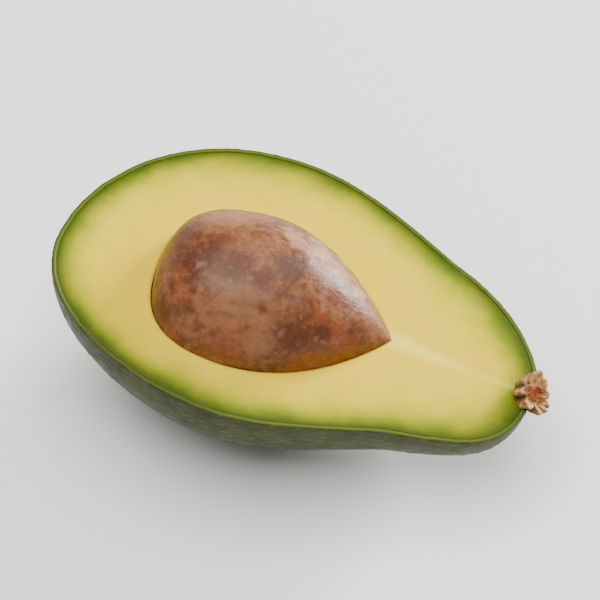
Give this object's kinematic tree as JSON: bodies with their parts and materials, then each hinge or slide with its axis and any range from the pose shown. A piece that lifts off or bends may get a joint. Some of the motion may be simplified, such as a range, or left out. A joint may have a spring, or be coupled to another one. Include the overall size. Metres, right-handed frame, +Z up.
{
  "type": "avocado half",
  "caption": "Half of a pear-shaped green avocado, cut lengthwise, with its seed and woody stem button in place, resting on its belly.",
  "frame": {"origin": "centre of the small flat spot under the belly, where the half rests", "axes": "+Z up; +X along the fruit from the blossom end to the stem end; +Y across the cut face"},
  "size_m": [0.1154, 0.0717, 0.0512],
  "materials": {
    "skin": "pebbled dark green peel with a low gloss and pale green flecks",
    "flesh": "moist, soft yellow flesh that turns green towards the peel",
    "seed": "smooth brown stone in a thin mottled papery coat",
    "stem_button": "dry fibrous wood, tan rim and orange-brown heart"
  },
  "bodies": {
    "root": {"skin": "skin", "flesh": "flesh", "seed": "seed", "stem_button": "stem_button"}
  },
  "joints": []
}
